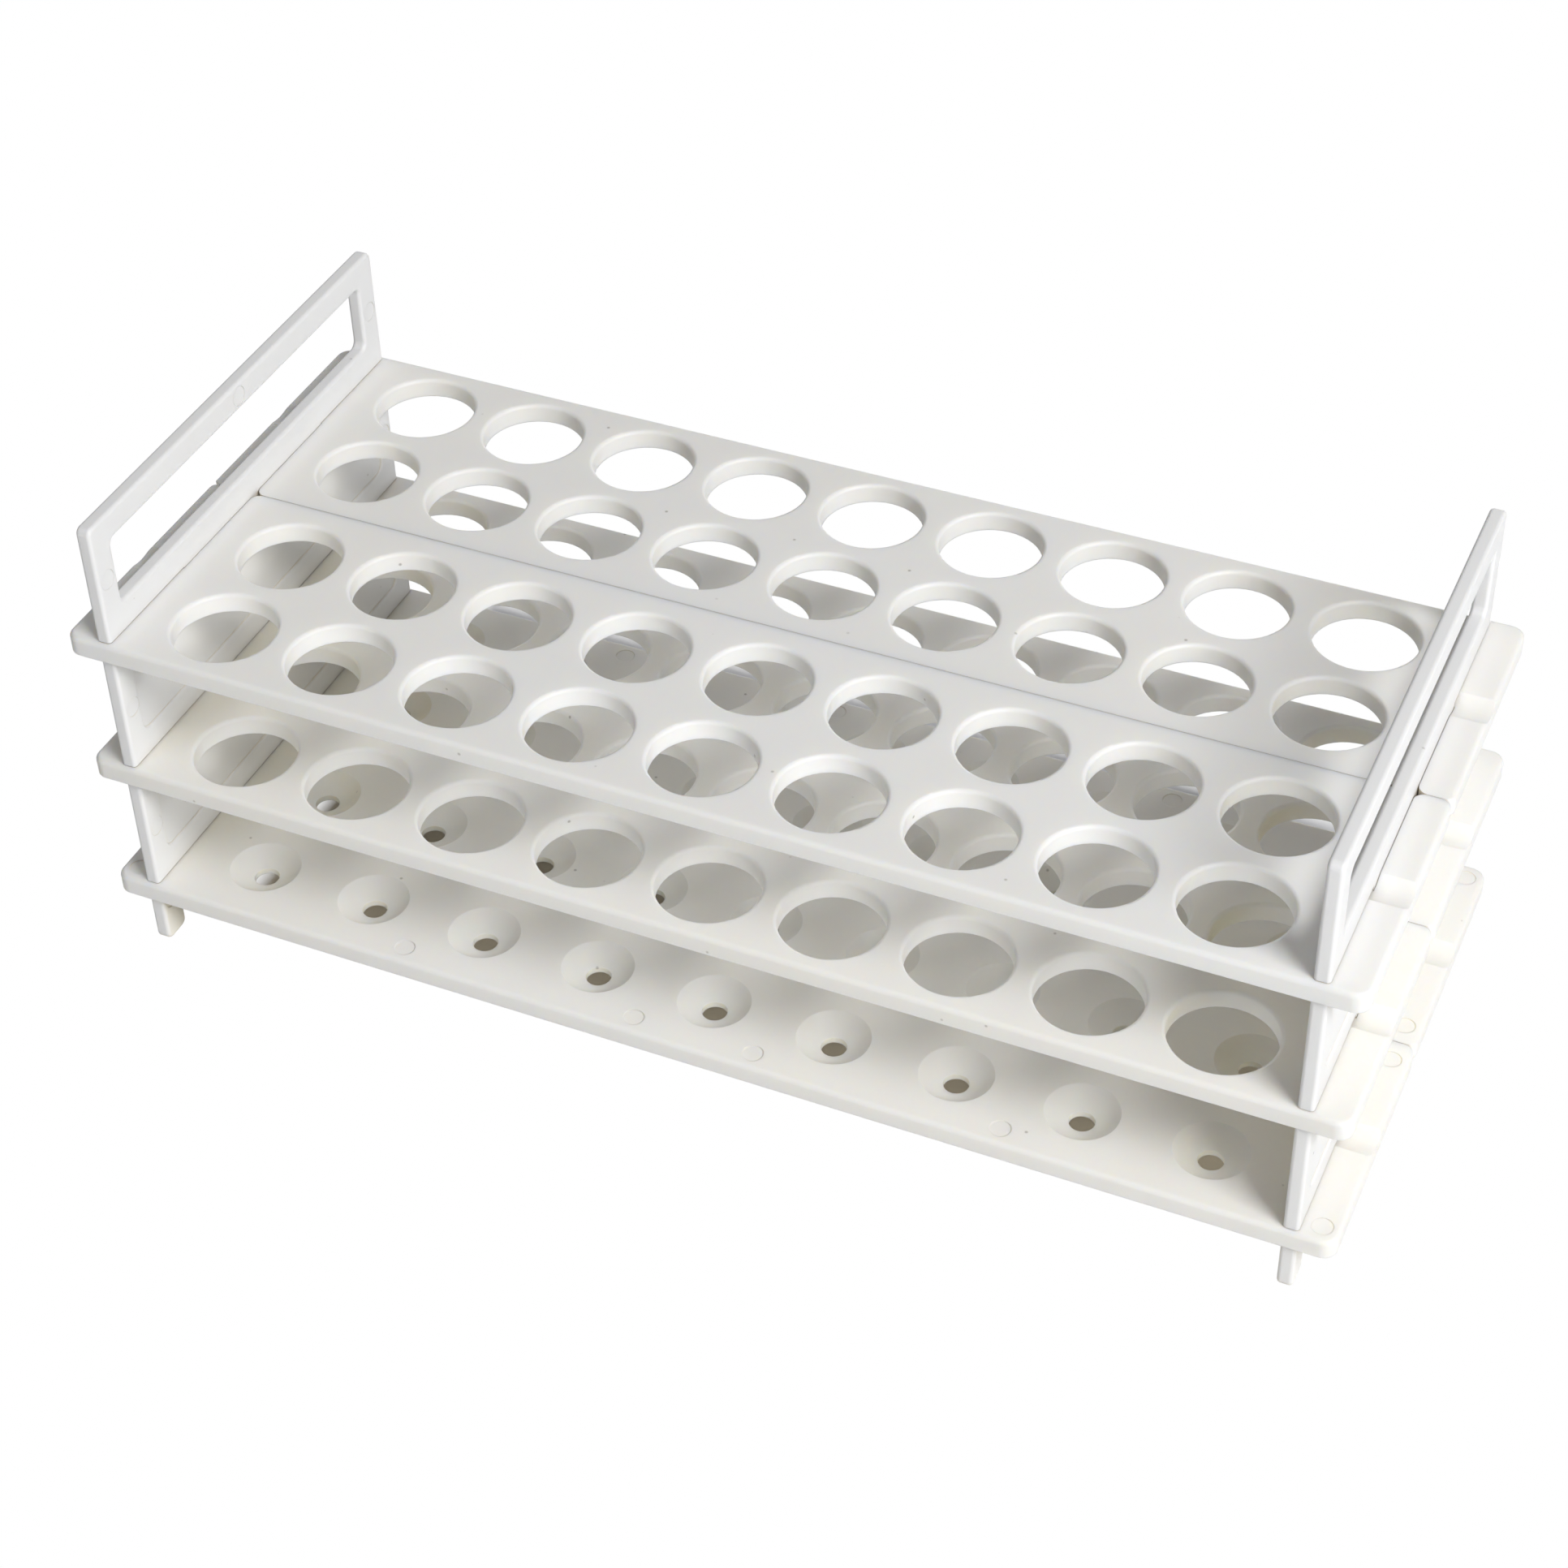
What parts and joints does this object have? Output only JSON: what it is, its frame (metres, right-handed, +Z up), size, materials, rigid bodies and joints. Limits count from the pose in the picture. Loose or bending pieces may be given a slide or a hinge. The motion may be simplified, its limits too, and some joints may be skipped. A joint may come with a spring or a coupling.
{
  "type": "test tube rack",
  "caption": "Three-tier plastic test tube rack of push-together half shelves in two slotted end frames with handle openings.",
  "frame": {"origin": "on the ground under the middle of the rack", "axes": "+X along the rack's length from the left end frame to the right, +Y from the front to the rear, +Z up"},
  "size_m": [0.2646, 0.111, 0.1076],
  "materials": {
    "shelf_plastic": "satin off-white moulded polypropylene, faintly warm",
    "frame_plastic": "satin white moulded polypropylene, faintly cool"
  },
  "bodies": {
    "frames": {"left_end_frame": "frame_plastic", "right_end_frame": "frame_plastic"},
    "bottom_front": {"bottom_front_half_shelf": "shelf_plastic"},
    "bottom_rear": {"bottom_rear_half_shelf": "shelf_plastic"},
    "middle_front": {"middle_front_half_shelf": "shelf_plastic"},
    "middle_rear": {"middle_rear_half_shelf": "shelf_plastic"},
    "top_front": {"top_front_half_shelf": "shelf_plastic"},
    "top_rear": {"top_rear_half_shelf": "shelf_plastic"}
  },
  "joints": [
    {"name": "bottom_front_slide", "type": "slide", "parent": "frames", "child": "bottom_front", "axis": [0, -1, 0], "range_m": [0, 0.027]},
    {"name": "bottom_rear_slide", "type": "slide", "parent": "frames", "child": "bottom_rear", "axis": [0, 1, 0], "range_m": [0, 0.027]},
    {"name": "middle_front_slide", "type": "slide", "parent": "frames", "child": "middle_front", "axis": [0, -1, 0], "range_m": [0, 0.027]},
    {"name": "middle_rear_slide", "type": "slide", "parent": "frames", "child": "middle_rear", "axis": [0, 1, 0], "range_m": [0, 0.027]},
    {"name": "top_front_slide", "type": "slide", "parent": "frames", "child": "top_front", "axis": [0, -1, 0], "range_m": [0, 0.027]},
    {"name": "top_rear_slide", "type": "slide", "parent": "frames", "child": "top_rear", "axis": [0, 1, 0], "range_m": [0, 0.027]}
  ]
}
